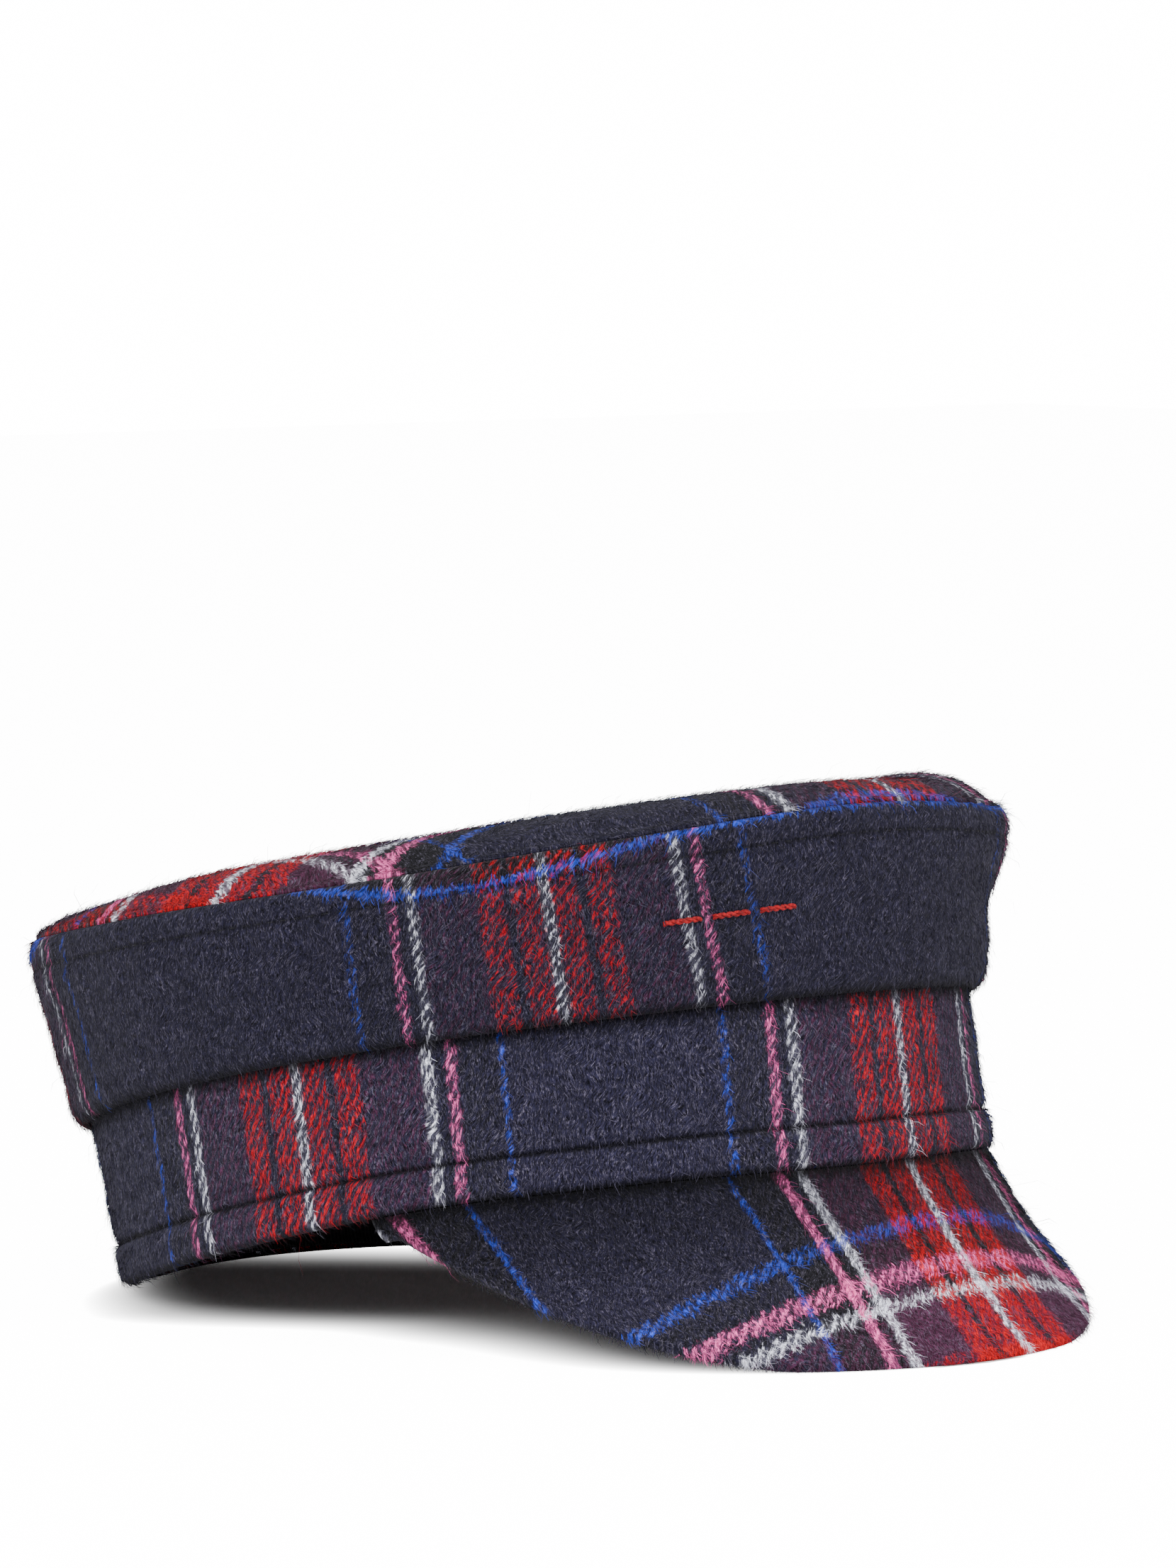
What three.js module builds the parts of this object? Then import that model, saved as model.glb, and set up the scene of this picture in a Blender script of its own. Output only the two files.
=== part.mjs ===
// Baker boy cap in thick brushed wool, lying on a table as it would by itself: on the back of its hem and the
// front of its peak. It is sewn from a low domed tip, a crown side that rolls over the band, a straight headband
// with a turned hem, a stiff covered peak and a thin dark sweatband inside the headband.
// Millimetres and degrees, +Z up. The wearer faces -Y and the wearer's left is +X.
// Angles go round the head from the middle of the front towards the wearer's left.
import * as THREE from "three";

// Headband and hem
const hemLength = 200; // front to back, outside
const hemWidth = 182; // side to side, outside
const foldHeight = 34.5; // from the hem up to the underside of the roll
const bandFlare = 1.8; // how far the band leans out on its way up
const bandWall = 2.4;
const bandTuck = 1.6; // how far the band goes up behind the roll
const bandLeanBack = 1.9; // the band's top lies this much further back than the hem
const hemHeight = 8.6; // from the edge up to the stitch line
const hemProud = 0.6; // the turned hem is thicker than the band by this
const stitchDip = 0.35;

// Crown side
const sideHeight = 40; // from the underside of the roll up to the tip's seam
const sideWall = 2;
const rollOverhang = 3.4; // the roll stands out over the band by this
const rollRound = 4.4; // how high up the roll's rounding reaches
const rollTurn = 1.9; // how high the cloth turns back in over the band
const crownFlare = 7.6; // how far the side leans out to the front and the back
const crownFlareWide = 6.9; // how far it leans out to the sides
const crownLeanForward = 4.8; // the crown's rim lies this much further forward than the roll
const rimRadius = 5; // rounding where the side goes over into the tip
const seamAngle = 40; // where the tip's seam lies on that rounding
const tipAngle = 76; // where the rounding ends and the dome starts

// Tip
const tipWall = 2;
const domeRise = 6; // the middle of the dome above the end of the rounding
const domeFullness = 18; // how flat the middle is

// Sweatband
const sweatWall = 1;
const sweatHeight = 30;
const sweatLift = 1.5; // its lower edge above the hem

// Peak
const peakLength = 51.4; // along the cloth, in the middle
const peakHalfAngle = 67.3; // how far round the hem the peak is sewn on, each way
const peakEndLength = 4.2; // the peak's length at its two ends
const peakWall = 3;
const peakRootSlope = 67.6; // below the hem's plane, where the peak leaves the hem
const peakEdgeSlope = 47.5; // the same at its outer edge
const peakOutlinePower = 2.95; // how broad the peak's outline is
const peakForwardShare = 0.86; // how much the peak is pulled forward instead of straight out
const peakRootInset = 0.3; // the peak's face lies this much inside the band's face

const seamGap = 0.3; // clearance between pieces that are sewn together
const settle = 0.6; // how much of the soft edges is pressed flat by the table
const ringSteps = 72; // columns round the head
const peakRoundSteps = 44;
const peakOutSteps = 8;
const domeSteps = 7;
const rimSteps = 3;

// How the edges wander up and down round the head, the same on both sides, as shares of foldHeight.
const hemWander = [
  { angle: 0, rise: -0.036 },
  { angle: 30, rise: 0.003 },
  { angle: 60, rise: 0.045 },
  { angle: 90, rise: -0.006 },
  { angle: 120, rise: -0.061 },
  { angle: 150, rise: 0.003 },
  { angle: 180, rise: 0.075 },
];
const foldWander = [
  { angle: 0, rise: 0 },
  { angle: 30, rise: 0.009 },
  { angle: 60, rise: 0.034 },
  { angle: 90, rise: 0.033 },
  { angle: 120, rise: -0.014 },
  { angle: 150, rise: -0.041 },
  { angle: 180, rise: -0.039 },
];
// The same for the tip's seam, as shares of sideHeight.
const seamWander = [
  { angle: 0, rise: -0.042 },
  { angle: 30, rise: -0.088 },
  { angle: 60, rise: -0.108 },
  { angle: 90, rise: -0.06 },
  { angle: 120, rise: -0.003 },
  { angle: 150, rise: 0.07 },
  { angle: 180, rise: 0.085 },
];

// Where the rim is pushed up on one side, as shares of sideHeight.
const rimLifts = [{ angle: 58, spread: 42, lift: 0.06 }];

// Soft dents (deep below 0) and swells in the crown side. Angle and spread are degrees round the head,
// up and tall are shares of sideHeight, and deep is a share of rollOverhang.
const sideDents = [
  { angle: 54, spread: 20, up: 0.46, tall: 0.2, deep: -0.62 },
  { angle: 50, spread: 24, up: 0.82, tall: 0.14, deep: 0.3 },
  { angle: -20, spread: 16, up: 0.5, tall: 0.28, deep: -0.16 },
  { angle: -62, spread: 20, up: 0.4, tall: 0.25, deep: 0.14 },
  { angle: -128, spread: 26, up: 0.78, tall: 0.26, deep: 0.36 },
  { angle: 118, spread: 20, up: 0.5, tall: 0.3, deep: -0.3 },
  { angle: 172, spread: 18, up: 0.55, tall: 0.26, deep: -0.26 },
];
// Hollows and swells in the tip. Out is a share of the tip's radius, and deep is a share of domeRise.
const tipDents = [
  { angle: -122, out: 0.92, spread: 0.32, deep: -0.65 },
  { angle: 50, out: 0.9, spread: 0.24, deep: 0.75 },
  { angle: 0, out: 0.75, spread: 0.3, deep: -0.18 },
  { angle: 150, out: 0.5, spread: 0.3, deep: -0.12 },
];

const degrees = Math.PI / 180;
const mix = (a, b, share) => a + (b - a) * share;
const bell = (distance, spread) => Math.exp(-((distance / spread) ** 2));

// A smooth even curve through a wander table, level at the front and at the back.
function wander(table, angle) {
  const turned = Math.abs(Math.atan2(Math.sin(angle), Math.cos(angle))) / degrees;
  const last = table.length - 1;
  let i = 0;
  while (i < last - 1 && turned > table[i + 1].angle) i += 1;
  const slope = (k) =>
    k === 0 || k === last
      ? 0
      : (table[k + 1].rise - table[k - 1].rise) / (table[k + 1].angle - table[k - 1].angle);
  const span = table[i + 1].angle - table[i].angle;
  const t = Math.min(1, (turned - table[i].angle) / span);
  return (
    table[i].rise * (2 * t ** 3 - 3 * t ** 2 + 1) +
    table[i + 1].rise * (3 * t ** 2 - 2 * t ** 3) +
    slope(i) * span * (t ** 3 - 2 * t ** 2 + t) +
    slope(i + 1) * span * (t ** 3 - t ** 2)
  );
}

const hemRise = (angle) => foldHeight * wander(hemWander, angle);
const foldRise = (angle) => foldHeight * (1 + wander(foldWander, angle));
const apart = (a, b) => Math.abs(Math.atan2(Math.sin(a - b), Math.cos(a - b))) / degrees;
function seamRise(angle) {
  const lifts = rimLifts.reduce(
    (sum, { angle: at, spread, lift }) => sum + lift * bell(apart(angle, at * degrees), spread),
    0,
  );
  return foldHeight + sideHeight * (1 + wander(seamWander, angle) + lifts);
}

// The point at an angle on an oval round the head, moved out by so much.
function ovalPoint(angle, oval, out, height) {
  return new THREE.Vector3(
    (oval.halfWidth + out) * Math.sin(angle),
    oval.back - (oval.halfLength + out) * Math.cos(angle),
    height,
  );
}
const blend = (a, b, share) => ({
  halfLength: mix(a.halfLength, b.halfLength, share),
  halfWidth: mix(a.halfWidth, b.halfWidth, share),
  back: mix(a.back, b.back, share),
});
const hemOval = { halfLength: hemLength / 2, halfWidth: hemWidth / 2, back: 0 };
const bandOval = {
  halfLength: hemOval.halfLength + bandFlare,
  halfWidth: hemOval.halfWidth + bandFlare,
  back: bandLeanBack,
};
const rollOval = {
  halfLength: bandOval.halfLength + rollOverhang,
  halfWidth: bandOval.halfWidth + rollOverhang,
  back: bandLeanBack,
};
const rimOval = {
  halfLength: rollOval.halfLength + crownFlare,
  halfWidth: rollOval.halfWidth + crownFlareWide,
  back: rollOval.back - crownLeanForward,
};

// Soft dents in the crown side, in millimetres outwards.
function sideDent(angle, share) {
  return sideDents.reduce((sum, dent) => {
    const round = bell(apart(angle, dent.angle * degrees), dent.spread);
    return sum + rollOverhang * dent.deep * round * bell(share - dent.up, dent.tall);
  }, 0);
}

// A point of the crown side: out from its face, and rise from the underside of the roll.
function sidePoint(angle, { out, rise }) {
  const share = rise / sideHeight;
  const height = mix(foldRise(angle), seamRise(angle), share);
  const dent = sideDent(angle, share) * Math.min(1, Math.max(0, share * 5));
  return ovalPoint(angle, blend(rollOval, rimOval, share), out + dent, height);
}

// A point of the headband: out from its face, and rise from the hem. The top ends just under the roll.
function bandPoint(angle, { out, rise }) {
  const share = rise / (foldHeight + bandTuck);
  const top = sidePoint(angle, { out: 0, rise: bandTuck }).z;
  return ovalPoint(angle, blend(hemOval, bandOval, share), out, mix(hemRise(angle), top, share));
}

// Sweeps a section round the head. A ring's section is closed, up the outside and down the inside.
// A disc's section runs from the middle of its underside, round its edge, to the middle of its top.
function sweep(section, place, isDisc) {
  const profile = section.map((p) => new THREE.Vector2(hemLength + (p.out ?? 0), p.rise ?? 0));
  if (!isDisc) profile.push(profile[0].clone());
  const geometry = new THREE.LatheGeometry(profile, ringSteps);
  const position = geometry.getAttribute("position");
  for (let i = 0; i <= ringSteps; i += 1) {
    const angle = ((i % ringSteps) / ringSteps) * 2 * Math.PI;
    profile.forEach((_, j) => {
      const p = place(angle, section[j % section.length]);
      position.setXYZ(i * profile.length + j, p.x, p.y, p.z);
    });
  }
  return geometry;
}

function headband() {
  const top = foldHeight + bandTuck;
  const outside = [
    { out: -bandWall * 0.8, rise: 0 },
    { out: -bandWall * 0.3, rise: 0 },
    { out: hemProud * 0.2, rise: hemHeight * 0.08 },
    { out: hemProud, rise: hemHeight * 0.26 },
    { out: hemProud * 0.9, rise: hemHeight * 0.72 },
    { out: hemProud * 0.35, rise: hemHeight * 0.94 },
    { out: -stitchDip, rise: hemHeight },
    { out: -stitchDip * 0.2, rise: hemHeight * 1.1 },
    { out: 0, rise: mix(hemHeight, top, 0.3) },
    { out: 0, rise: mix(hemHeight, top, 0.65) },
    { out: 0, rise: top },
  ];
  const inside = [
    { out: -bandWall, rise: top },
    { out: -bandWall, rise: mix(hemHeight, top, 0.5) },
    { out: -bandWall, rise: hemHeight * 0.14 },
  ];
  return sweep([...outside, ...inside], bandPoint, false);
}

function sweatband() {
  const outer = -bandWall - seamGap;
  const low = sweatLift;
  const high = sweatLift + sweatHeight;
  const middle = (low + high) / 2;
  const section = [
    { out: outer - sweatWall, rise: low },
    { out: outer, rise: low },
    { out: outer, rise: middle },
    { out: outer, rise: high },
    { out: outer - sweatWall, rise: high },
    { out: outer - sweatWall, rise: middle },
  ];
  return sweep(section, bandPoint, false);
}

// The rounding between the side and the tip, at a depth under its face.
function rimPoint(turn, depth) {
  const radius = rimRadius - depth;
  return {
    out: -rimRadius + radius * Math.cos(turn * degrees),
    rise: sideHeight + radius * Math.sin(turn * degrees) - rimRadius * Math.sin(seamAngle * degrees),
  };
}

function crownSide() {
  const wallLow = rollTurn + sideWall;
  const innerLow = rollRound + sideWall * 0.6;
  const wallTop = rimPoint(0, 0).rise;
  const levels = [0.2, 0.4, 0.6, 0.8];
  const outside = [
    { out: -rollOverhang - bandWall, rise: rollTurn },
    { out: -rollOverhang * 0.94, rise: rollTurn },
    { out: -rollOverhang * 0.9, rise: rollTurn * 0.2 },
    ...[90, 60, 30, 0].map((turn) => ({
      out: -rollOverhang * 0.8 * (1 - Math.cos(turn * degrees)),
      rise: rollRound * (1 - Math.sin(turn * degrees)),
    })),
    ...levels.map((level) => ({ out: 0, rise: mix(rollRound, wallTop, level) })),
    ...[0, seamAngle / 2, seamAngle].map((turn) => rimPoint(turn, 0)),
  ];
  const inside = [
    rimPoint(seamAngle, sideWall),
    rimPoint(0, sideWall),
    ...levels.slice().reverse().map((level) => ({ out: -sideWall, rise: mix(innerLow, wallTop, level) })),
    { out: -sideWall, rise: innerLow },
    { out: -rollOverhang, rise: wallLow },
    { out: -rollOverhang - bandWall, rise: wallLow },
  ];
  return sweep([...outside, ...inside], sidePoint, false);
}

// A point of the dome: share runs from the middle of the tip, 0, to the end of the rounding, 1.
function domePoint(angle, share, depth) {
  const rim = rimPoint(tipAngle, depth);
  const edge = sidePoint(angle, rim);
  const dent = tipDents.reduce((sum, { angle: at, out, spread, deep }) => {
    const x = share * Math.sin(angle) - out * Math.sin(at * degrees);
    const y = share * Math.cos(angle) - out * Math.cos(at * degrees);
    return sum + domeRise * deep * bell(Math.hypot(x, y), spread) * (1 - share ** 12);
  }, 0);
  return new THREE.Vector3(
    edge.x * share,
    mix(rimOval.back, edge.y, share),
    mix(foldHeight + rim.rise, edge.z, share ** 2) + domeRise * (1 - share ** domeFullness) + dent,
  );
}

function crownTip() {
  const start = seamAngle + seamGap / rimRadius / degrees;
  const turns = Array.from({ length: rimSteps }, (_, i) => mix(start, tipAngle, i / rimSteps));
  const shares = Array.from({ length: domeSteps }, (_, i) => 1 - (i / domeSteps) ** 1.4);
  const section = [
    { share: 0, depth: tipWall },
    ...shares.slice().reverse().map((share) => ({ share, depth: tipWall })),
    ...turns.slice().reverse().map((turn) => ({ turn, depth: tipWall })),
    ...turns.map((turn) => ({ turn, depth: 0 })),
    ...shares.map((share) => ({ share, depth: 0 })),
    { share: 0, depth: 0 },
  ];
  const place = (angle, { turn, share, depth }) =>
    turn === undefined ? domePoint(angle, share, depth) : sidePoint(angle, rimPoint(turn, depth));
  return sweep(section, place, true);
}

// A point of the peak's upper face. Along runs from the wearer's right end, -1, to the left end, 1,
// and out from the hem, 0, to the edge, 1.
function peakFace(along, out) {
  const angle = along * peakHalfAngle * degrees;
  const root = ovalPoint(angle, hemOval, -peakRootInset, hemRise(angle) - seamGap);
  const length = Math.max(peakEndLength, peakLength * (1 - Math.abs(along) ** peakOutlinePower));
  const outward = new THREE.Vector2(
    hemOval.halfLength * Math.sin(angle),
    -hemOval.halfWidth * Math.cos(angle),
  ).normalize();
  outward.lerp(new THREE.Vector2(0, -1), peakForwardShare).normalize();
  const steps = 8;
  let forward = 0;
  let down = 0;
  for (let i = 0; i < steps; i += 1) {
    const slope = mix(peakRootSlope, peakEdgeSlope, ((i + 0.5) / steps) * out) * degrees;
    forward += (Math.cos(slope) * length * out) / steps;
    down += (Math.sin(slope) * length * out) / steps;
  }
  const slope = mix(peakRootSlope, peakEdgeSlope, out) * degrees;
  const onward = new THREE.Vector3(outward.x * Math.cos(slope), outward.y * Math.cos(slope), -Math.sin(slope));
  const aside = new THREE.Vector3(
    hemOval.halfWidth * Math.cos(angle),
    hemOval.halfLength * Math.sin(angle),
    0,
  );
  // At the root the peak's thickness goes level under the hem, and further out it is square to the face.
  const inward = aside.cross(onward).normalize();
  inward.z *= Math.min(1, out * 4);
  inward.normalize();
  return {
    point: new THREE.Vector3(root.x + outward.x * forward, root.y + outward.y * forward, root.z - down),
    inward,
    onward,
  };
}

function peak() {
  const geometry = new THREE.BoxGeometry(2, 1, 1, peakRoundSteps, 2, peakOutSteps);
  const position = geometry.getAttribute("position");
  for (let i = 0; i < position.count; i += 1) {
    const out = position.getZ(i) + 0.5;
    const depth = 0.5 - position.getY(i); // 0 on the upper face, 1 on the lower one
    const face = peakFace(position.getX(i), out);
    const rounding = out === 1 ? 1 - (2 * depth - 1) ** 2 : 0; // the edge is rounded over
    const narrowing = out === 1 ? mix(0.5, depth, 0.55) : depth;
    const p = face.point
      .addScaledVector(face.inward, peakWall * narrowing)
      .addScaledVector(face.onward, peakWall * 0.35 * rounding);
    position.setXYZ(i, p.x, p.y, p.z);
  }
  return geometry;
}

// The table carries the cap on the back of the hem and the edge of the peak, so the whole cap is tipped back.
// The tilt is the one at which both are equally low, found by halving.
function restingTilt(hem, edge) {
  const lowest = (geometry, tilt) => {
    const position = geometry.getAttribute("position");
    let low = Infinity;
    for (let i = 0; i < position.count; i += 1) {
      low = Math.min(low, position.getZ(i) * Math.cos(tilt) - position.getY(i) * Math.sin(tilt));
    }
    return low;
  };
  let flat = 0;
  let steep = 45 * degrees;
  for (let i = 0; i < 40; i += 1) {
    const tilt = (flat + steep) / 2;
    if (lowest(edge, tilt) < lowest(hem, tilt)) flat = tilt;
    else steep = tilt;
  }
  return (flat + steep) / 2;
}

// Turns the pieces to the way they rest, puts the origin under the middle of the cap, and presses flat
// what the table holds up.
function layDown(geometries, tilt) {
  const bounds = new THREE.Box3();
  geometries.forEach((geometry) => {
    geometry.rotateX(-tilt);
    geometry.computeBoundingBox();
    bounds.union(geometry.boundingBox);
  });
  const middle = bounds.getCenter(new THREE.Vector3());
  geometries.forEach((geometry) => {
    geometry.translate(-middle.x, -middle.y, -bounds.min.z - settle);
    const position = geometry.getAttribute("position");
    for (let i = 0; i < position.count; i += 1) position.setZ(i, Math.max(0, position.getZ(i)));
    geometry.computeVertexNormals();
  });
}

const wool = (name) => new THREE.MeshStandardMaterial({ name, color: 0x2b2a36, roughness: 0.95, metalness: 0 });
const tape = { name: "sweatband cloth", color: 0x0b0a0d, roughness: 0.85, metalness: 0 };
const lining = new THREE.MeshStandardMaterial(tape);

const pieces = {
  crown_tip: { geometry: crownTip(), material: wool("tip wool") },
  crown_side: { geometry: crownSide(), material: wool("side wool") },
  headband: { geometry: headband(), material: wool("band wool") },
  sweatband: { geometry: sweatband(), material: lining },
  peak: { geometry: peak(), material: wool("peak wool") },
};
const tilt = restingTilt(pieces.headband.geometry, pieces.peak.geometry);
layDown(Object.values(pieces).map(({ geometry }) => geometry), tilt);

const cap = new THREE.Group();
cap.name = "baker_boy_cap";
Object.entries(pieces).forEach(([name, { geometry, material }]) => {
  const mesh = new THREE.Mesh(geometry, material);
  mesh.name = name;
  cap.add(mesh);
});

export default cap;
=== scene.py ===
# Baker boy cap in brushed tartan wool, lying on a pale table on the back of its hem and the edge of its peak.
# The forms are worked out in millimetres in the cap's own frame, with the hem level and the wearer facing -Y,
# and are then tipped back and set down the way the cap lies.
import math

import bmesh
import bpy
import numpy as np
from mathutils import Matrix, Vector


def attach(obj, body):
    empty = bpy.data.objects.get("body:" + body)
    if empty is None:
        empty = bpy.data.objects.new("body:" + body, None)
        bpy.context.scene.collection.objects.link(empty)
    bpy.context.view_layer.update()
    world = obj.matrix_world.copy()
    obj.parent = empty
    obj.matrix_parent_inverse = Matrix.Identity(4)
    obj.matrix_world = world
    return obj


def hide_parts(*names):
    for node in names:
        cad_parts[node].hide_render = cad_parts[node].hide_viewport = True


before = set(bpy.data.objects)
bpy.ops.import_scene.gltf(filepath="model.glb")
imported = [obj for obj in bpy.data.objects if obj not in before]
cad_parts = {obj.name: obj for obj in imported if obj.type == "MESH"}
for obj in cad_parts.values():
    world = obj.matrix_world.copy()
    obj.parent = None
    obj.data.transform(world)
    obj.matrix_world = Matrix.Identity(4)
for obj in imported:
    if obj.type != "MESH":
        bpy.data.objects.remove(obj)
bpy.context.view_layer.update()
print("frame loaded")

capForm = {
    "hemLength": 200.0,
    "hemWidth": 182.0,
    "foldHeight": 34.5,
    "bandFlare": 1.8,
    "bandLeanBack": 1.9,
    "bandTuck": 1.6,
    "sideHeight": 40.0,
    "rollOverhang": 3.4,
    "crownFlare": 7.6,
    "crownFlareWide": 6.9,
    "crownLeanForward": 4.8,
    "rimRadius": 5.0,
    "seamAngle": 40.0,
    "tipAngle": 76.0,
    "tilt": 12.213722875878826,
    "hemCentre": (0.04587554931640625, 5.306892395019531, 18.086229705810545),
    # how the edges rise and fall round the head, at every 30 degrees from the front to the back
    "hemWander": (-0.036, 0.003, 0.045, -0.006, -0.061, 0.003, 0.075),
    "foldWander": (0, 0.009, 0.034, 0.033, -0.014, -0.041, -0.039),
    "seamWander": (-0.042, -0.088, -0.108, -0.06, -0.003, 0.07, 0.085),
    "rimLift": {"angle": 58, "spread": 42, "lift": 0.06},
    # angle, spread, up, tall and deep of each soft dent in the crown side
    "sideDents": (
        (54, 20, 0.46, 0.2, -0.62),
        (50, 24, 0.82, 0.14, 0.3),
        (-20, 16, 0.5, 0.28, -0.16),
        (-62, 20, 0.4, 0.25, 0.14),
        (-128, 26, 0.78, 0.26, 0.36),
        (118, 20, 0.5, 0.3, -0.3),
        (172, 18, 0.55, 0.26, -0.26),
    ),
    # how much the thick cloth swells and sinks, in millimetres
    "ripple": 0.28,
}


# form of the cap
def bell(distance, spread):
    return np.exp(-(distance / spread) ** 2)


def apart(angle, other):
    return np.degrees(np.abs(np.arctan2(np.sin(angle - other), np.cos(angle - other))))


def wander(rises, angle):
    turned = np.degrees(np.abs(np.arctan2(np.sin(angle), np.cos(angle))))
    rise = np.array(rises, float)
    slope = np.gradient(rise)
    slope[0] = slope[-1] = 0
    i = np.minimum((turned // 30).astype(int), 5)
    t = turned / 30 - i
    return (
        rise[i] * (2 * t**3 - 3 * t**2 + 1)
        + rise[i + 1] * (3 * t**2 - 2 * t**3)
        + slope[i] * (t**3 - 2 * t**2 + t)
        + slope[i + 1] * (t**3 - t**2)
    )


hemOval = np.array([capForm["hemLength"] / 2, capForm["hemWidth"] / 2, 0])
bandOval = hemOval + [capForm["bandFlare"], capForm["bandFlare"], capForm["bandLeanBack"]]
rollOval = bandOval + [capForm["rollOverhang"], capForm["rollOverhang"], 0]
rimOval = rollOval + [capForm["crownFlare"], capForm["crownFlareWide"], -capForm["crownLeanForward"]]
midBandOval = (hemOval + bandOval) / 2
midSideOval = (rollOval + rimOval) / 2


def hemRise(angle):
    return capForm["foldHeight"] * wander(capForm["hemWander"], angle)


def foldRise(angle):
    return capForm["foldHeight"] * (1 + wander(capForm["foldWander"], angle))


def seamRise(angle):
    push = capForm["rimLift"]
    lift = push["lift"] * bell(apart(angle, math.radians(push["angle"])), push["spread"])
    return capForm["foldHeight"] + capForm["sideHeight"] * (1 + wander(capForm["seamWander"], angle) + lift)


def ovalPoint(angle, lower, upper, share, out, height):
    halfLength = lower[0] + (upper[0] - lower[0]) * share + out
    halfWidth = lower[1] + (upper[1] - lower[1]) * share + out
    back = lower[2] + (upper[2] - lower[2]) * share
    parts = np.broadcast_arrays(halfWidth * np.sin(angle), back - halfLength * np.cos(angle), height)
    return np.stack(parts, -1)


def ripple(angle, along, strength):
    waves = np.sin(angle * 9 + along * 0.16) * np.sin(angle * 4 - along * 0.21 + 1.3)
    waves = waves + 0.6 * np.sin(angle * 17 - along * 0.33 + 0.4) * np.sin(angle * 7 + along * 0.27)
    return waves * strength


def sidePoint(angle, out, rise):
    share = rise / capForm["sideHeight"]
    height = foldRise(angle) + (seamRise(angle) - foldRise(angle)) * share
    dent = 0
    for at, spread, up, tall, deep in capForm["sideDents"]:
        near = bell(apart(angle, math.radians(at)), spread)
        dent = dent + capForm["rollOverhang"] * deep * near * bell(share - up, tall)
    dent = (dent + ripple(angle, rise, capForm["ripple"])) * np.clip(share * 5, 0, 1)
    return ovalPoint(angle, rollOval, rimOval, share, out + dent, height)


def bandPoint(angle, out, rise):
    share = rise / (capForm["foldHeight"] + capForm["bandTuck"])
    top = sidePoint(angle, 0, capForm["bandTuck"])[..., 2]
    low = hemRise(angle)
    soft = ripple(angle, rise + 20, capForm["ripple"] * 0.6)
    soft = soft * np.clip(share * 4, 0, 1) * np.clip((0.9 - share) * 6, 0, 1)
    return ovalPoint(angle, hemOval, bandOval, share, out + soft, low + (top - low) * share)


def rimProfile(turn, depth):
    radius = capForm["rimRadius"] - depth
    sunk = capForm["rimRadius"] * math.sin(math.radians(capForm["seamAngle"]))
    out = radius * np.cos(np.radians(turn)) - capForm["rimRadius"]
    return out, capForm["sideHeight"] + radius * np.sin(np.radians(turn)) - sunk


def setDown(points):
    tilt = math.radians(capForm["tilt"])
    sine, cosine = math.sin(tilt), math.cos(tilt)
    x, y, z = points[..., 0], points[..., 1], points[..., 2]
    turned = np.stack([x, y * cosine + z * sine, z * cosine - y * sine], -1)
    turned = turned + np.array(capForm["hemCentre"])
    turned[..., 2] = np.maximum(turned[..., 2], 0)
    return turned / 1000


def pathRuns(path):
    # how far along a path each of its points is
    return np.concatenate([[0], np.cumsum(np.hypot(*np.diff(path, axis=0).T))])


def alongPath(path, spacing):
    # evenly spaced points on a path of (out, rise) pairs
    path = np.array(path, float)
    runs = pathRuns(path)
    steps = np.linspace(0, runs[-1], max(2, int(runs[-1] / spacing) + 1))
    return np.stack([np.interp(steps, runs, path[:, 0]), np.interp(steps, runs, path[:, 1])], -1)


fineAngles = np.linspace(-math.pi, math.pi, 3601)


def ovalRun(oval, angle):
    # arc length round an oval, from the middle of the front
    run = pathRuns(np.stack([oval[1] * np.sin(fineAngles), oval[0] * np.cos(fineAngles)], -1))
    return np.interp(angle, fineAngles, run - np.interp(0, fineAngles, run))


def angleOnOval(oval, run):
    return np.interp(run, ovalRun(oval, fineAngles), fineAngles)


def unit(vectors):
    return vectors / np.maximum(np.linalg.norm(vectors, axis=-1, keepdims=True), 1e-9)


# turning a form into a mesh
def meshFrom(bm, name):
    mesh = bpy.data.meshes.new(name)
    bm.to_mesh(mesh)
    bm.free()
    return mesh


def addObject(name, data):
    made = bpy.data.objects.new(name, data)
    bpy.context.scene.collection.objects.link(made)
    return made


def makePiece(name, columns, rows, place, cloth, pattern, openEnds):
    # a grid of columns by rows is moved onto the form, then its edges are sewn up
    bm = bmesh.new()
    clothLayer = bm.loops.layers.uv.new("cloth")
    patternLayer = bm.loops.layers.uv.new("pattern")
    bmesh.ops.create_grid(bm, x_segments=columns, y_segments=rows, size=0.5)
    bm.verts.ensure_lookup_table()
    flat = np.array([v.co[:2] for v in bm.verts]) + 0.5
    across = np.round(flat[:, 0] * columns).astype(int)
    up = np.round(flat[:, 1] * rows).astype(int)
    points = setDown(place(across, up))
    clothAt = cloth(across, up)
    patternAt = pattern(across, up)
    smoothFaces(bm)
    for face in bm.faces:
        for loop in face.loops:
            loop[clothLayer].uv = clothAt[loop.vert.index]
            loop[patternLayer].uv = patternAt[loop.vert.index]
    for v in bm.verts:
        v.co = points[v.index]
    bmesh.ops.remove_doubles(bm, verts=bm.verts, dist=2e-6)
    if openEnds:
        closeEnds(bm)
    bmesh.ops.recalc_face_normals(bm, faces=bm.faces)
    piece = addObject(name, meshFrom(bm, name))
    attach(piece, "root")
    return piece


def closeEnds(bm):
    openEdges = [edge for edge in bm.edges if edge.is_boundary]
    bmesh.ops.holes_fill(bm, edges=openEdges, sides=0)


def smoothFaces(bm):
    for face in bm.faces:
        face.smooth = True


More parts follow.
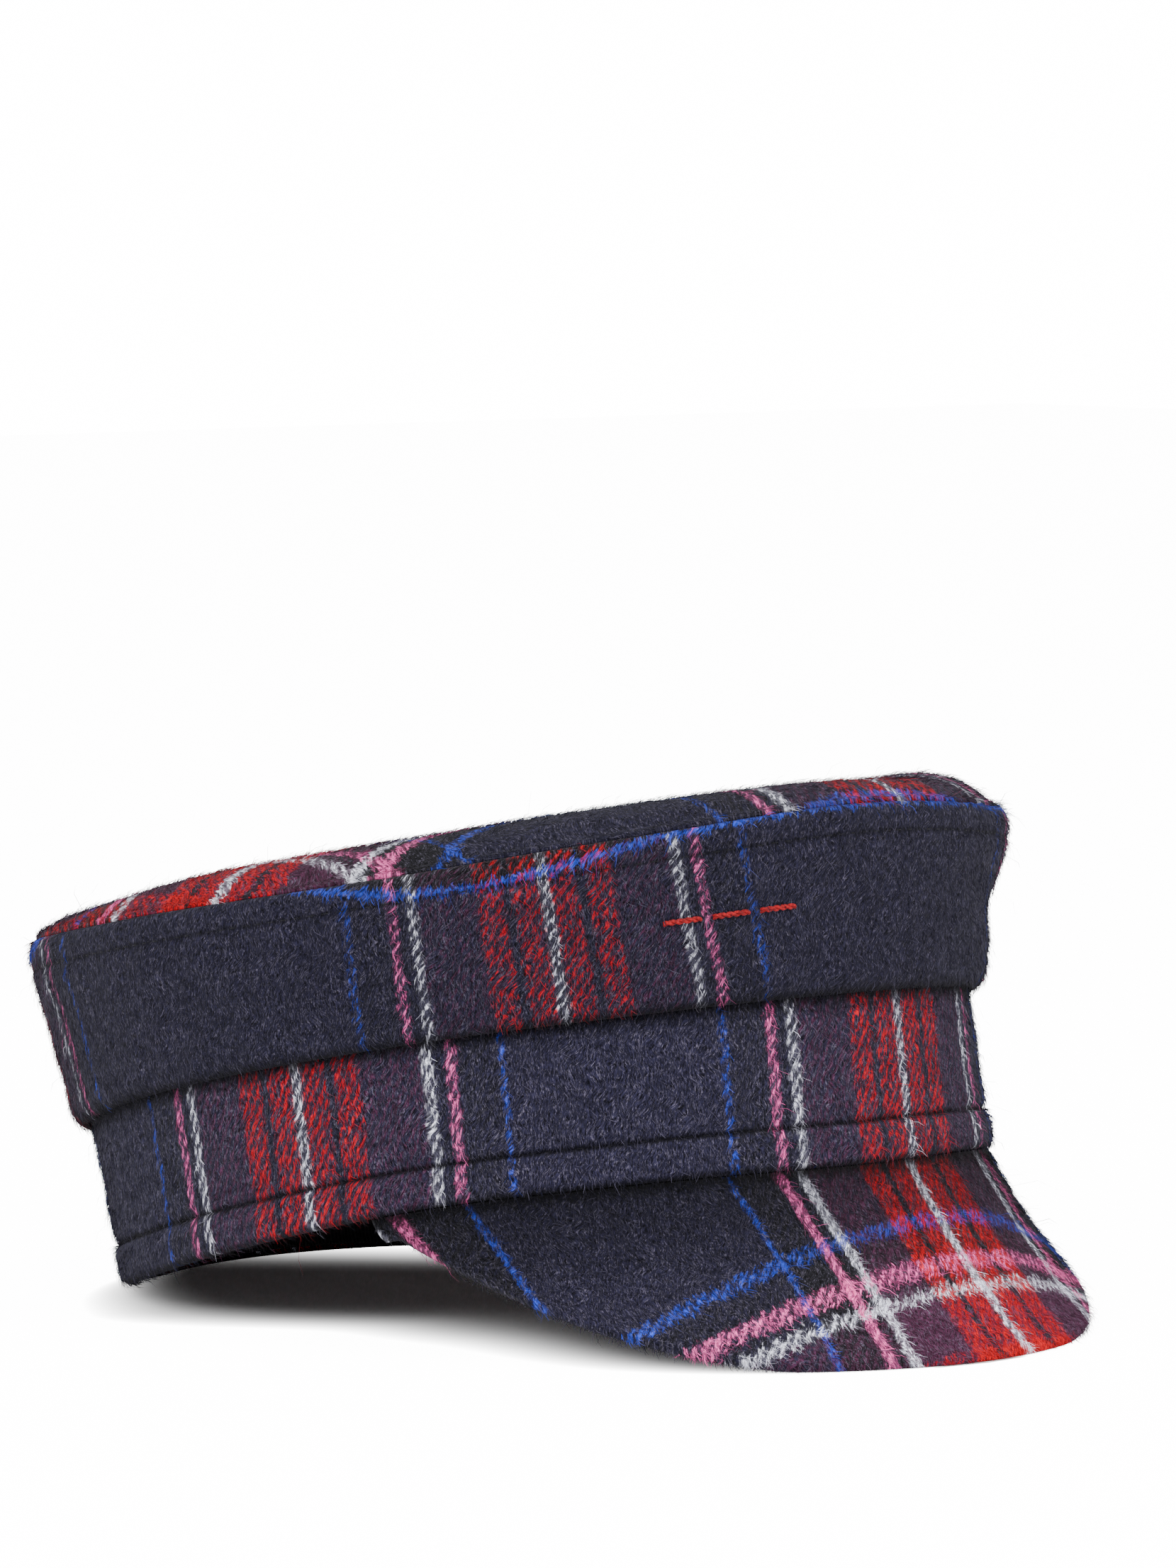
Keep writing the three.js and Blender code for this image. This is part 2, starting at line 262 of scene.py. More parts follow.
# where the tartan lies on each piece
# Pattern coordinates count from the middle of a red block, warp first and weft second, in millimetres.
tartan = {
    "repeat": 141.0,
    "fieldEdge": 47.5,
    "side": {
        "centre": -69.5,
        "scale": 0.92,
        "wideField": 89.0,
        "leanFrom": -113,
        "leanOver": 90,
        "leanRise": 19,
        "lean": 0.0027,
        "blueAt": 33.9,
        "blueBow": 0.0055,
        "bowFrom": -86,
        "bowFront": 5.8,
        "bowBack": 15.0,
        # behind the ear the bow eases, and further round it becomes the one of the front
        "ease": {"from": -190, "over": 40, "share": 0.85},
        "meet": {"from": -260, "over": 50},
        "squeezeBelow": -25,
        "squeeze": 0.3,
    },
    "band": {"centre": -124.6, "lean": 0.09, "leanRise": 17, "weftCentre": 92.0},
    "tip": {"turn": 8.5, "centre": 30.0, "weftTurn": -6.5, "weftScale": 0.92, "weftCentre": -9.1},
    "peak": {
        "centre": 14.3,
        "weftCentre": 62.5,
        "turn": 0.12,
        "sag": 0.55,
        "sagLeft": 0.74,
        "weftFrom": -7,
        "ease": 0.09,
        "bow": 2.7,
        "bowOver": 54,
        "straight": {"at": 14, "spread": 16, "share": 0.75},
        # the white stripe and the red block that cross the peak lie a little further out
        "weftRuns": (-10, 26.4, 33.4, 50.3, 100),
        "weftMoved": (-10, 26.4, 31.3, 47.3, 97),
    },
}


def sidePattern(run, rise):
    lay = tartan["side"]
    slope = np.clip(run - lay["leanFrom"], 0, lay["leanOver"]) * -lay["lean"]
    across = (run - slope * (rise - lay["leanRise"]) - lay["centre"]) / lay["scale"]
    # this panel is cut where the plain navy field is wider
    edge = tartan["fieldEdge"]
    narrow = tartan["repeat"] / 2 - edge
    wide = lay["wideField"] / lay["scale"] / 2
    span = 2 * (edge + wide)
    turn = np.round(across / span)
    rest = across - turn * span
    field = edge + (np.abs(rest) - edge) * narrow / wide
    rest = np.where(np.abs(rest) > edge, np.sign(rest) * field, rest)
    warp = turn * tartan["repeat"] + rest
    # the panel's edge curves against the weft, which comes back to the rim behind the wearer's ear
    away = run - lay["bowFrom"]
    most = np.where(away > 0, lay["bowFront"], lay["bowBack"])
    bow = most * (1 - np.exp(-lay["blueBow"] * away**2 / most))
    ease, meet = lay["ease"], lay["meet"]
    bow = bow * (1 - ease["share"] * np.clip((ease["from"] - run) / ease["over"], 0, 1))
    bow = bow + (lay["bowFront"] - bow) * np.clip((meet["from"] - run) / meet["over"], 0, 1)
    weft = (rise - lay["blueAt"] - bow) / lay["scale"]
    low = lay["squeezeBelow"]
    weft = np.where(weft > low, weft, low + (weft - low) * lay["squeeze"])
    return np.stack([warp, weft - edge], -1)


def bandPattern(run, rise):
    lay = tartan["band"]
    warp = run - lay["lean"] * (rise - lay["leanRise"]) - lay["centre"]
    return np.stack([warp, rise - lay["weftCentre"]], -1)


def tipPattern(x, y):
    lay = tartan["tip"]
    turn, weftTurn = math.radians(lay["turn"]), math.radians(lay["weftTurn"])
    warp = x * math.cos(turn) - y * math.sin(turn)
    weft = (x * math.sin(weftTurn) + y * math.cos(weftTurn)) * lay["weftScale"]
    return np.stack([warp - lay["centre"], weft - lay["weftCentre"]], -1)


def peakPattern(run, length, forward):
    lay = tartan["peak"]
    sag = np.where(run > 0, lay["sagLeft"], lay["sag"])
    weft = np.maximum(length + sag * forward + lay["turn"] * run, lay["weftFrom"])
    weft = np.interp(weft, lay["weftRuns"], lay["weftMoved"])
    eased = run * (1 - lay["ease"] * (run / 100) ** 2)
    straight = lay["straight"]
    bow = np.sin(math.pi * np.clip(length / lay["bowOver"], 0, 1))
    bow = bow * (1 - straight["share"] * bell(run - straight["at"], straight["spread"]))
    return np.stack([eased - lay["bow"] * bow - lay["centre"], weft - lay["weftCentre"]], -1)


# headband
headband = {"wall": 2.4, "hemHeight": 8.6, "proud": 1.0, "dip": 0.75, "columns": 320, "spacing": 0.75}


def headbandPaths():
    wall, hem, dip, low = headband["wall"], headband["proud"], headband["dip"], headband["hemHeight"]
    top = capForm["foldHeight"] + capForm["bandTuck"]
    outside = [(-wall * 0.8, 0), (-wall * 0.45, -0.08), (-wall * 0.15, -0.02), (hem * 0.25, 0.25)]
    outside += [(hem * 0.62, 0.7), (hem * 0.88, 1.35), (hem, low * 0.26), (hem * 1.05, low * 0.45)]
    outside += [(hem * 0.95, low * 0.66), (hem * 0.66, low * 0.82), (hem * 0.2, low * 0.93)]
    outside += [(-dip * 0.6, low * 0.98), (-dip, low), (-dip * 0.55, low * 1.025), (0, low * 1.09)]
    outside += [(0.25, low * 1.2), (0.3, low * 1.4), (0.15, low * 1.9), (0, low * 2.6), (0, top)]
    inside = [(-wall, top), (-wall, low), (-wall, 1.2), (-wall * 0.94, 0.35), (-wall * 0.8, 0)]
    return outside, inside


def ringPiece(name, settings, outside, inside, place, oval, pattern):
    # one closed section swept round the head
    outer = alongPath(outside, settings["spacing"])
    inner = alongPath(inside, settings["spacing"] * 2.5)
    section = np.concatenate([outer, inner[1:]])
    angles = np.linspace(-math.pi, math.pi, settings["columns"] + 1)
    runs = ovalRun(oval, angles)

    def spot(across, up):
        return place(angles[across], section[up, 0], section[up, 1])

    def cloth(across, up):
        return np.stack([runs[across], section[up, 1]], -1)

    def printed(across, up):
        return pattern(runs[across], section[up, 1])

    return makePiece(name, settings["columns"], len(section) - 1, spot, cloth, printed, False)


bandOutside, bandInside = headbandPaths()
bandPiece = ringPiece(
    "headband_cloth", headband, bandOutside, bandInside, bandPoint, midBandOval, bandPattern
)
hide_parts("headband")
print("headband made")

# crown side with its roll
crownSide = {
    "wall": 2.0,
    "rollRound": 4.4,
    "rollTurn": 1.9,
    "stitchRise": 33.6,
    "stitchDip": 0.42,
    "columns": 320,
    "spacing": 0.95,
}


def crownSidePaths():
    k = crownSide
    over = capForm["rollOverhang"]
    under = -over * 0.94
    outside = [(under - 2.3, k["rollTurn"]), (under, k["rollTurn"]), (-over * 0.9, k["rollTurn"] * 0.2)]
    for turn in range(90, -1, -10):
        drop = over * 0.8 * (1 - math.cos(math.radians(turn)))
        outside.append((-drop, k["rollRound"] * (1 - math.sin(math.radians(turn)))))
    seam = capForm["seamAngle"]
    low = rimProfile(0, 0)[1]
    for share in np.linspace(0.04, 0.96, 48):
        rise = k["rollRound"] + (low - k["rollRound"]) * share
        dip = k["stitchDip"] * float(bell(rise - k["stitchRise"], 0.9))
        outside.append((-dip, rise))
    outside += [tuple(float(part) for part in rimProfile(turn, 0)) for turn in np.linspace(0, seam, 5)]
    # the cloth sinks a little where the seam pulls it down
    outside[-1] = (outside[-1][0] - 0.25, outside[-1][1] - 0.2)
    inside = [tuple(float(part) for part in rimProfile(turn, k["wall"])) for turn in (seam, 0)]
    inside += [(-k["wall"], k["rollRound"] + 1.2), (-over, k["rollTurn"] + k["wall"])]
    inside += [(-over - 2.4, k["rollTurn"] + k["wall"]), (under - 2.3, k["rollTurn"])]
    return outside, inside


sideOutside, sideInside = crownSidePaths()
sidePiece = ringPiece(
    "crown_side_cloth", crownSide, sideOutside, sideInside, sidePoint, midSideOval, sidePattern
)
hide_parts("crown_side")
print("crown side made")

# domed tip
crownTip = {
    "wall": 2.0,
    "domeRise": 6.0,
    "domeFullness": 18.0,
    "columns": 240,
    "rings": 34,
    "rimSteps": 6,
    # the tip ends this many degrees short of the seam, and sinks there
    "seamGap": 3.5,
    "seamSink": 0.25,
    # angle, out, spread and deep of each hollow or swell
    "dents": (
        (-122, 0.92, 0.32, -0.65),
        (50, 0.9, 0.24, 0.75),
        (0, 0.75, 0.3, -0.18),
        (150, 0.5, 0.3, -0.12),
    ),
}


def domePoint(angle, share, depth):
    k = crownTip
    out, rise = rimProfile(capForm["tipAngle"], depth)
    edge = sidePoint(angle, out, rise)
    dent = 0
    for at, far, spread, deep in k["dents"]:
        x = share * np.sin(angle) - far * math.sin(math.radians(at))
        y = share * np.cos(angle) - far * math.cos(math.radians(at))
        dent = dent + k["domeRise"] * deep * bell(np.hypot(x, y), spread) * (1 - share**12)
    height = (capForm["foldHeight"] + rise) * (1 - share**2) + edge[..., 2] * share**2
    height = height + k["domeRise"] * (1 - share ** k["domeFullness"]) + dent
    y = rimOval[2] + (edge[..., 1] - rimOval[2]) * share
    return np.stack(np.broadcast_arrays(edge[..., 0] * share, y, height), -1)


def tipPoint(angle, step, depth):
    # step runs from 0 in the middle to 1 at the end of the dome and 2 at the seam
    last = capForm["seamAngle"] + crownTip["seamGap"]
    turn = capForm["tipAngle"] + (last - capForm["tipAngle"]) * np.clip(step - 1, 0, 1)
    out, rise = rimProfile(turn, depth + crownTip["seamSink"] * bell(step - 2, 0.2))
    rim = sidePoint(angle, out, rise)
    dome = domePoint(angle, np.clip(step, 0, 1), depth)
    return np.where((step > 1)[..., None], rim, dome)


def makeTip():
    k = crownTip
    dome = 1 - np.linspace(1, 0, k["rings"] + 1)[:-1] ** 1.3
    rim = 1 + np.linspace(0, 1, k["rimSteps"] + 1)
    steps = np.concatenate([dome, rim])
    section = np.concatenate([steps, steps[::-1]])
    depth = np.concatenate([np.full(len(steps), k["wall"]), np.zeros(len(steps))])
    angles = np.linspace(-math.pi, math.pi, k["columns"] + 1)

    def spot(across, up):
        return tipPoint(angles[across], section[up], depth[up])

    def cloth(across, up):
        return spot(across, up)[:, :2]

    def printed(across, up):
        flat = spot(across, up)
        return tipPattern(flat[:, 0], flat[:, 1])

    return makePiece("crown_tip_cloth", k["columns"], len(section) - 1, spot, cloth, printed, False)


tipPiece = makeTip()
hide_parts("crown_tip")
print("tip made")

# peak
peak = {
    "length": 51.4,
    "halfAngle": 67.3,
    "endLength": 4.2,
    "wall": 3.0,
    "rootSlope": 67.6,
    "edgeSlope": 47.5,
    "outlinePower": 2.95,
    "forwardShare": 0.86,
    "rootInset": 0.3,
    "gap": 0.3,
    "slices": 8,
    "meanSlope": 58,
    "columns": 180,
    "faceRows": 44,
    "edgeRows": 8,
}


def peakLength(along):
    return np.maximum(peak["endLength"], peak["length"] * (1 - np.abs(along) ** peak["outlinePower"]))


def faceShare(step):
    # step runs from 0 at the root over the face to 1, round the edge to 2 and back underneath to 3
    return np.where(step <= 1, step, np.where(step >= 2, 3 - step, 1))


def peakFace(along, out):
    k = peak
    angle = along * math.radians(k["halfAngle"])
    root = ovalPoint(angle, hemOval, hemOval, 0, -k["rootInset"], hemRise(angle) - k["gap"])
    length = peakLength(along)
    x, y = hemOval[0] * np.sin(angle), -hemOval[1] * np.cos(angle)
    size = np.hypot(x, y)
    x = x / size * (1 - k["forwardShare"])
    y = y / size * (1 - k["forwardShare"]) - k["forwardShare"]
    size = np.hypot(x, y)
    x, y = x / size, y / size
    forward, down = 0, 0
    slices, bend = k["slices"], k["edgeSlope"] - k["rootSlope"]
    for i in range(slices):
        slope = np.radians(k["rootSlope"] + bend * (i + 0.5) / slices * out)
        forward = forward + np.cos(slope) * length * out / slices
        down = down + np.sin(slope) * length * out / slices
    slope = np.radians(k["rootSlope"] + bend * out)
    point = root + np.stack([x * forward, y * forward, -down], -1)
    onward = np.stack([x * np.cos(slope), y * np.cos(slope), -np.sin(slope)], -1)
    aside = np.stack([hemOval[1] * np.cos(angle), hemOval[0] * np.sin(angle), 0 * angle], -1)
    inward = unit(np.cross(aside, onward))
    inward[..., 2] *= np.clip(out * 4, 0, 1)
    return point, unit(inward), onward


def peakPoint(along, step):
    out = faceShare(step)
    point, inward, onward = peakFace(along, np.clip(out, 0, 1))
    turn = np.clip(step - 1, 0, 1) * math.pi
    deep = peak["wall"] / 2 * (1 - np.cos(turn))
    proud = peak["wall"] * 0.4 * np.sin(turn)
    soft = ripple(along * 1.2, out * 50, capForm["ripple"] * 0.7)
    soft = soft * np.clip(np.minimum(out * 3, (1 - np.abs(along)) * 8), 0, 1)
    return point + inward * (deep - soft)[..., None] + onward * proud[..., None]


fineShares = np.linspace(-1, 1, 2001)


def peakRun(along):
    # arc length along the hem, from the middle of the peak, shortened the way back by the peak's slope
    angle = fineShares * math.radians(peak["halfAngle"])
    flatten = math.sin(math.radians(peak["meanSlope"]))
    run = pathRuns(np.stack([hemOval[1] * np.sin(angle), -hemOval[0] * np.cos(angle) * flatten], -1))
    return np.interp(along, fineShares, run - run[len(run) // 2])


def peakCloth(along, step):
    angle = along * math.radians(peak["halfAngle"])
    edge = np.where(step > 1, np.minimum(step - 1, 1) * peak["wall"], 0)
    reach = peakLength(along) * faceShare(step) + edge
    return peakRun(along), reach, hemOval[0] * (np.cos(angle) - 1)


def makePeak():
    k = peak
    face = np.linspace(0, 1, k["faceRows"] + 1)
    edge = np.linspace(1, 2, k["edgeRows"] + 1)[1:]
    under = np.linspace(2, 3, k["faceRows"] // 2 + 1)[1:]
    steps = np.concatenate([face, edge, under, [3.0]])
    # the columns stand closer together towards the ends
    even = np.linspace(-1, 1, k["columns"] + 1)
    shares = np.sin(even * math.pi / 2) * 0.35 + even * 0.65

    def spot(across, up):
        last = up == len(steps) - 1
        return peakPoint(shares[across], np.where(last, 0.0, steps[up]))

    def cloth(across, up):
        run, reach, forward = peakCloth(shares[across], steps[up])
        return np.stack([run, -reach], -1)

    def printed(across, up):
        return peakPattern(*peakCloth(shares[across], steps[up]))

    return makePiece("peak_cloth", k["columns"], len(steps) - 1, spot, cloth, printed, True)


peakPiece = makePeak()
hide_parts("peak")
print("peak made")

# sweatband
sweatband = {"wall": 1.0, "height": 30.0, "lift": 1.5, "gap": 0.3, "columns": 240, "spacing": 1.5}


def makeSweatband():
    k = sweatband
    outer = -headband["wall"] - k["gap"]
    inner = outer - k["wall"]
    low, high = k["lift"], k["lift"] + k["height"]
    outside = [(inner + 0.3, low), (outer - 0.25, low), (outer, low + 0.3), (outer, high - 0.2)]
    outside.append((outer - 0.25, high))
    inside = [(outer - 0.25, high), (inner + 0.25, high), (inner, high - 0.3), (inner, low + 0.3)]
    inside.append((inner + 0.3, low))
    return ringPiece("sweatband_cloth", k, outside, inside, bandPoint, hemOval, bandPattern)


sweatPiece = makeSweatband()
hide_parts("sweatband")
print("sweatband made")

# nap: short fibres brushed along the cloth, each a narrow strip that takes its colour from its root
nap = {
    "seed": 7,
    "side": 42000,
    "band": 36000,
    "tip": 40000,
    "peak": 22000,
    "width": 0.11,
    "length": 1.7,
    "lengthVaries": 0.35,
    "lift": 0.2,
    "liftVaries": 0.2,
    "lean": 0.3,  # how far the fibres lean aside as they are brushed down
    "leanVaries": 0.42,
    "roll": 1.1,
    "bend": 0.35,
    "stray": 0.004,
    "strayLonger": 1.9,
    # along a fibre, at its root, its middle and its end
    "reach": (0, 0.5, 1.0),
    "rise": (-0.25, 0.6, 0.78),
    "taper": (1.0, 0.9, 0.25),
    "curve": (0, 0.1, 0.4),
}


def makeNap(name, count, rootAt, seed):
    # every other strip of a grid becomes one fibre
    rng = np.random.default_rng(nap["seed"] + seed)
    strips = 2 * count - 1
    bm = bmesh.new()
    bmesh.ops.create_grid(bm, x_segments=strips, y_segments=2, size=0.5)
    bm.verts.ensure_lookup_table()
    bm.faces.ensure_lookup_table()
    spare = [face for face in bm.faces if int((face.calc_center_median().x + 0.5) * strips) % 2 == 1]
    bmesh.ops.delete(bm, geom=spare, context="FACES")
    mesh = meshFrom(bm, name)
    flat = np.empty(len(mesh.vertices) * 3)
    mesh.vertices.foreach_get("co", flat)
    flat = flat.reshape(-1, 3) + 0.5
    column = np.round(flat[:, 0] * strips).astype(int)
    fibre, edge = column // 2, column % 2 - 0.5
    up = np.round(flat[:, 1] * 2).astype(int)
    root, outward, combed, clothAt, patternAt = rootAt(rng, count)
    aside = np.cross(outward, combed)
    yaw = rng.normal(0, nap["leanVaries"], count) + nap["lean"]
    way = combed * np.cos(yaw)[:, None] + aside * np.sin(yaw)[:, None]
    aside = np.cross(outward, way)
    roll = rng.uniform(-nap["roll"], nap["roll"], count)
    flatWay = aside * np.cos(roll)[:, None] + outward * np.sin(roll)[:, None]
    length = nap["length"] * rng.lognormal(0, nap["lengthVaries"], count)
    lift = np.abs(rng.normal(nap["lift"], nap["liftVaries"], count))
    stray = rng.random(count) < nap["stray"]
    length = np.where(stray, length * nap["strayLonger"], length)
    lift = np.where(stray, lift * 2.6 + 0.3, lift)
    bend = rng.normal(0, nap["bend"], count) * length
    width = nap["width"] * rng.uniform(0.7, 1.35, count)
    reach, rise, taper, curve = [np.array(nap[key]) for key in ("reach", "rise", "taper", "curve")]
    points = (
        root[fibre]
        + way[fibre] * (length[fibre] * reach[up])[:, None]
        + outward[fibre] * (length[fibre] * lift[fibre] * rise[up] + 0.12 * (up > 0))[:, None]
        + aside[fibre] * (bend[fibre] * curve[up])[:, None]
        + flatWay[fibre] * (width[fibre] * taper[up] * edge)[:, None]
    )
    mesh.vertices.foreach_set("co", setDown(points).ravel())
    corners = np.empty(len(mesh.loops), int)
    mesh.loops.foreach_get("vertex_index", corners)
    for layerName, values in (("cloth", clothAt), ("pattern", patternAt)):
        layer = mesh.uv_layers.new(name=layerName)
        layer.data.foreach_set("uv", values[fibre[corners]].ravel())
    tone = mesh.attributes.new("fibreTone", "FLOAT", "POINT")
    tone.data.foreach_set("value", (rng.random(count)[fibre] * 0.75 + 0.25 * up / 2).astype(np.float32))
    mesh.update()
    piece = addObject(name, mesh)
    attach(piece, "root")
    return piece


def frameAt(place, first, second, stepFirst, stepSecond, outwardFrom):
    # a point of a form with its outward normal and the way its second coordinate runs
    here = place(first, second)
    acrossWay = place(first + stepFirst, second) - here
    upWay = place(first, second + stepSecond) - here
    normal = unit(np.cross(acrossWay, upWay))
    facing = np.sign(((here - outwardFrom) * normal).sum(-1, keepdims=True))
    return here, normal * facing, unit(upWay)


def ringRoots(outside, place, oval, pattern, start):
    path = np.array(outside, float)
    runs = pathRuns(path)

    def onPath(angle, run):
        return place(angle, np.interp(run, runs, path[:, 0]), np.interp(run, runs, path[:, 1]))

    def rootAt(rng, count):
        angle = rng.uniform(-math.pi, math.pi, count)
        run = rng.uniform(start, runs[-1] - 0.05, count)
        # the form swells outwards from a core inside it, so that tells the outward side
        core = place(angle, -14.0, np.interp(run, runs, path[:, 1]) * 0.5 + 9)
        root, outward, combed = frameAt(onPath, angle, run, 0.002, -0.04, core)
        arc = ovalRun(oval, angle)
        rise = np.interp(run, runs, path[:, 1])
        return root, outward, combed, np.stack([arc, rise], -1), pattern(arc, rise)

    return rootAt


def tipRoots(rng, count):
    angle = rng.uniform(-math.pi, math.pi, count)
    step = np.sqrt(rng.random(count)) * 1.06
    step = np.where(step > 1, 1 + rng.random(count), step)
    depth = np.zeros(count)

    def onTip(first, second):
        return tipPoint(first, second, depth)

    root, outward, _ = frameAt(onTip, angle, step, 0.003, -0.004, np.array([0.0, 0.0, 20.0]))
    # the tip's cloth is brushed towards the front
    front = np.array([0.12, -1.0, 0.0])
    combed = unit(front - outward * (outward * front).sum(-1, keepdims=True))
    return root, outward, combed, root[:, :2], tipPattern(root[:, 0], root[:, 1])


def peakRoots(rng, count):
    along = rng.uniform(-1, 1, count * 3)
    length = 1 - np.abs(along) ** peak["outlinePower"] + 0.09
    along = along[rng.random(count * 3) * 1.09 < length][:count]
    along = np.resize(along, count)
    step = np.where(rng.random(count) < 0.86, rng.uniform(0.01, 1, count), rng.uniform(1, 1.9, count))
    point, inward, onward = peakFace(along, np.clip(step, 0, 1))
    core = point + inward * (peak["wall"] / 2) - onward * 2
    root, outward, combed = frameAt(peakPoint, along, step, 0.002, 0.004, core)
    run, reach, forward = peakCloth(along, step)
    return root, outward, combed, np.stack([run, -reach], -1), peakPattern(run, reach, forward)


sideRoots = ringRoots(sideOutside, sidePoint, midSideOval, sidePattern, 4.6)
bandRoots = ringRoots(bandOutside[:-1] + [(0, 34.6)], bandPoint, midBandOval, bandPattern, 0.4)
napPieces = [
    makeNap("crown_side_nap", nap["side"], sideRoots, 1),
    makeNap("headband_nap", nap["band"], bandRoots, 2),
    makeNap("crown_tip_nap", nap["tip"], tipRoots, 3),
    makeNap("peak_nap", nap["peak"], peakRoots, 4),
]
print("nap made")

# sewing
sewing = {
    "hemStitch": {"rise": headband["hemHeight"], "length": 2.4, "pitch": 3.3, "thick": 0.4, "out": -0.72},
    "rimStitch": {"rise": crownSide["stitchRise"], "length": 2.2, "pitch": 3.3, "thick": 0.32, "out": -0.42},
    "redRow": {
        "rise": 19.5,
        "from": -46.0,
        "to": -16.0,
        "count": 3,
        "gap": 2.6,
        "thick": 1.3,
        "twist": 1.7,
        "rings": 40,
        "sides": 8,
        # each end dives into the cloth over this share of the stitch, and this deep
        "dive": 0.08,
        "deep": 1.1,
    },
}


def stitchRow(name, row, place, oval):
    # one small bead is stretched into each stitch and laid along the seam
    around = float(ovalRun(oval, math.pi)) * 2
    count = int(around / row["pitch"])
    size = Matrix.Diagonal((row["length"] / 2000, row["thick"] / 2000, row["thick"] / 2000, 1))
    bm = bmesh.new()
    for middle in angleOnOval(oval, -around / 2 + (np.arange(count) + 0.5) * around / count):
        ends = np.array([middle - 0.004, middle + 0.004])
        spots = setDown(place(ends, np.full(2, row["out"]), np.full(2, row["rise"])))
        centre = Matrix.Translation(Vector(spots.mean(axis=0)))
        way = Vector(spots[1] - spots[0]).normalized()
        turn = way.to_track_quat("X", "Z").to_matrix().to_4x4()
        bmesh.ops.create_icosphere(bm, subdivisions=1, radius=1, matrix=centre @ turn @ size)
    smoothFaces(bm)
    piece = addObject(name, meshFrom(bm, name))
    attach(piece, "root")
    return piece


hemStitches = stitchRow("hem_stitches", sewing["hemStitch"], bandPoint, hemOval)
rimStitches = stitchRow("rim_stitches", sewing["rimStitch"], sidePoint, midSideOval)


def sweepStrand(bm, spine, radius, sides):
    last = len(spine) - 1
    before = []
    for i in range(last + 1):
        way = Vector(spine[min(i + 1, last)] - spine[max(i - 1, 0)]).normalized()
        turn = way.to_track_quat("Z", "Y").to_matrix().to_4x4()
        laid = Matrix.Translation(Vector(spine[i])) @ turn
        ring = bmesh.ops.create_circle(bm, segments=sides, radius=radius, matrix=laid)
        edges = list({edge for v in ring["verts"] for edge in v.link_edges if edge.is_wire})
        if before:
            bmesh.ops.bridge_loops(bm, edges=before + edges)
        before = edges


def redThreadRow(name, row):
    # running stitches in a thick two-ply thread: each stitch is two round strands twisted together
    span = (row["to"] - row["from"] - row["gap"] * (row["count"] - 1)) / row["count"]
    radius = row["thick"] / 4
    steps = np.linspace(0, 1, row["rings"] + 1)
    sink = np.clip(np.minimum(steps, 1 - steps) / row["dive"], 0, 1)
    bm = bmesh.new()
    for i in range(row["count"]):
        angle = angleOnOval(midSideOval, row["from"] + i * (span + row["gap"]) + steps * span)
        for strand in (0, math.pi):
            spin = steps * span / row["twist"] * math.pi + strand
            out = radius * (1 + 0.9 * np.sin(spin)) - row["deep"] * (1 - sink) ** 2 + 0.15
            rise = row["rise"] + radius * 0.95 * np.cos(spin)
            sweepStrand(bm, setDown(sidePoint(angle, out, rise)), radius * 1.12 / 1000, row["sides"])
    closeEnds(bm)
    bmesh.ops.recalc_face_normals(bm, faces=bm.faces)
    smoothFaces(bm)
    piece = addObject(name, meshFrom(bm, name))
    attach(piece, "root")
    return piece


redRow = redThreadRow("red_thread_row", sewing["redRow"])
print("sewing made")


# materials
class Link:
    # wraps a socket so that node maths can be written as an expression
    def __init__(self, tree, socket):
        self.tree = tree
        self.socket = socket

    def maths(self, operation, other=0.0):
        return self.tree.node("ShaderNodeMath", {"operation": operation}, {0: self, 1: other}).out(0)

    def __add__(self, other):
        return self.maths("ADD", other)

    def __sub__(self, other):
        return self.maths("SUBTRACT", other)

    def __mul__(self, other):
        return self.maths("MULTIPLY", other)

    def __truediv__(self, other):
        return self.maths("DIVIDE", other)

    def __rsub__(self, other):
        return self.tree.node("ShaderNodeMath", {"operation": "SUBTRACT"}, {0: other, 1: self}).out(0)

    __radd__ = __add__
    __rmul__ = __mul__


class Placed:
    def __init__(self, tree, node):
        self.tree = tree
        self.node = node

    def out(self, key):
        return Link(self.tree, self.node.outputs[key])


